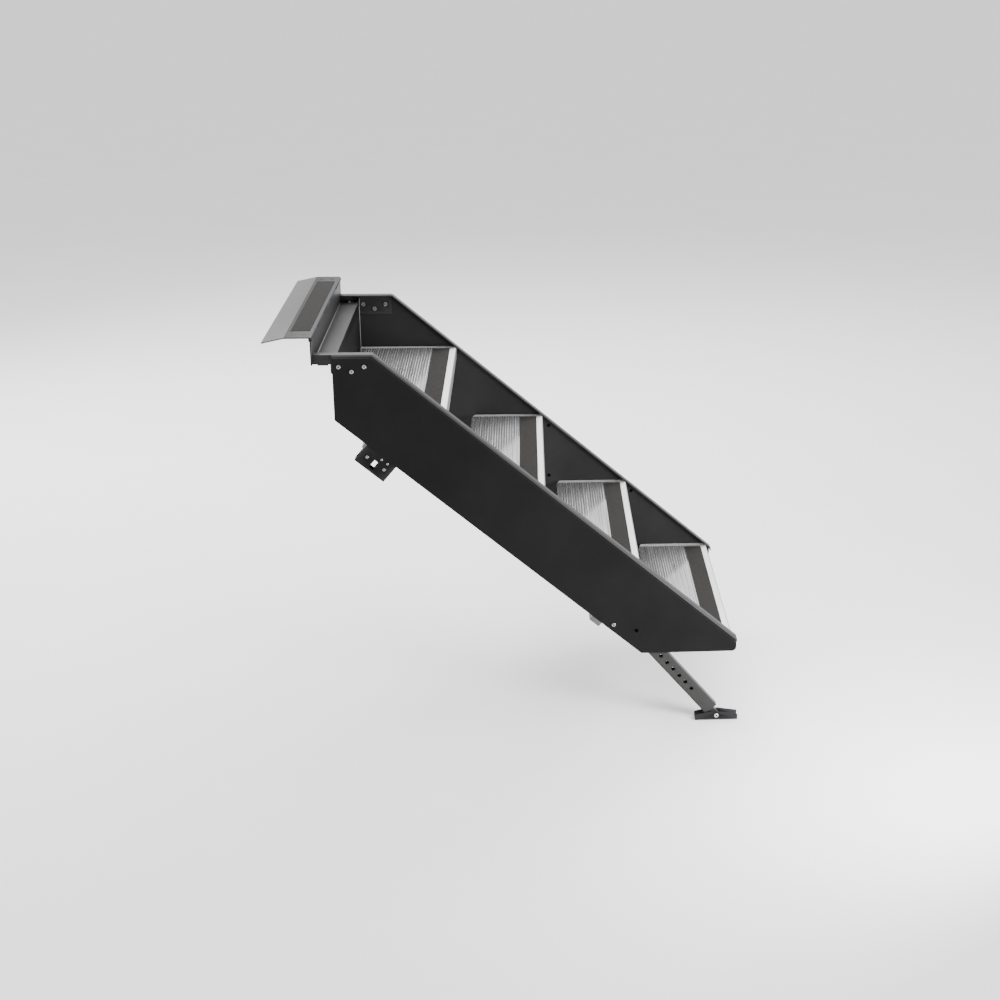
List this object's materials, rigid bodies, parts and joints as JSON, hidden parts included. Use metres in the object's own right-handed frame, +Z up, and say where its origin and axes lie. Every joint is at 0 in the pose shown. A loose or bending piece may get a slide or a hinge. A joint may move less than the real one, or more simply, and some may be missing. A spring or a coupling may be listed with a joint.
{
  "type": "fold-up entry stair",
  "caption": "Fold-up caravan entry stair with ribbed treads between folded side panels, a hinged threshold plate, and telescoping legs with tilting feet.",
  "frame": {"origin": "middle of the threshold flat, on its underside, at the centre of the four screw holes", "axes": "+X outward and along the run of the stair, Y across the stair, +Z up"},
  "size_m": [1.1896, 0.684, 1.0684],
  "materials": {
    "black_coat": "satin powder coat",
    "grit": "coarse grit",
    "aluminium": "bright mill finish",
    "zinc": "bright zinc",
    "black_plastic": "moulded",
    "rubber": "moulded"
  },
  "bodies": {
    "threshold": {"threshold_plate": "black_coat", "threshold_grip": "grit", "hinge_pin": "black_coat"},
    "stair": {"hinge_riser": "black_coat", "kick_plate": "black_coat", "ledge_screws": "zinc", "arm_left": "black_coat", "arm_right": "black_coat", "arm_bolts": "zinc", "arm_nuts": "zinc", "side_panel_left": "black_coat", "side_panel_right": "black_coat", "tread_1": "aluminium", "tread_2": "aluminium", "tread_3": "aluminium", "tread_4": "aluminium", "tread_grip_1": "grit", "tread_grip_2": "grit", "tread_grip_3": "grit", "tread_grip_4": "grit", "tread_brackets_left": "zinc", "tread_brackets_right": "zinc", "bracket_nuts_left": "zinc", "bracket_nuts_right": "zinc", "upper_brace": "aluminium", "lower_brace": "aluminium", "stay_bracket_left": "black_coat", "stay_bracket_right": "black_coat", "stay_bolts": "zinc", "stay_screws": "zinc", "panel_plugs": "black_plastic", "leg_sleeve_left": "black_coat", "leg_sleeve_right": "black_coat", "sleeve_bolts": "zinc", "plunger_barrel_left": "zinc", "plunger_barrel_right": "zinc"},
    "left_leg": {"leg_left": "black_coat", "leg_tongue_left": "black_coat"},
    "left_foot": {"foot_left": "black_coat", "foot_pad_left": "rubber", "foot_bolt_left": "zinc"},
    "left_plunger": {"plunger_left": "zinc", "pull_knob_left": "black_plastic"},
    "right_leg": {"leg_right": "black_coat", "leg_tongue_right": "black_coat"},
    "right_foot": {"foot_right": "black_coat", "foot_pad_right": "rubber", "foot_bolt_right": "zinc"},
    "right_plunger": {"plunger_right": "zinc", "pull_knob_right": "black_plastic"}
  },
  "joints": [
    {"name": "stair_swing", "type": "hinge", "parent": "threshold", "child": "stair", "pos_m": [0.032, 0, -0.0045], "axis": [0, -1, 0], "range_deg": [0, 130]},
    {"name": "left_leg_slide", "type": "slide", "parent": "stair", "child": "left_leg", "axis": [-0.6481, 0, 0.7615], "range_m": [-0.0508, 0.1016]},
    {"name": "left_foot_tilt", "type": "hinge", "parent": "left_leg", "child": "left_foot", "pos_m": [1.04682, 0.315, -1.05109], "axis": [0, 1, 0], "range_deg": [-20, 20]},
    {"name": "left_plunger_slide", "type": "slide", "parent": "stair", "child": "left_plunger", "axis": [0, 1, 0], "range_m": [0, 0.026]},
    {"name": "right_leg_slide", "type": "slide", "parent": "stair", "child": "right_leg", "axis": [-0.6481, 0, 0.7615], "range_m": [-0.0508, 0.1016]},
    {"name": "right_foot_tilt", "type": "hinge", "parent": "right_leg", "child": "right_foot", "pos_m": [1.04682, -0.315, -1.05109], "axis": [0, 1, 0], "range_deg": [-20, 20]},
    {"name": "right_plunger_slide", "type": "slide", "parent": "stair", "child": "right_plunger", "axis": [0, -1, 0], "range_m": [0, 0.026]}
  ]
}
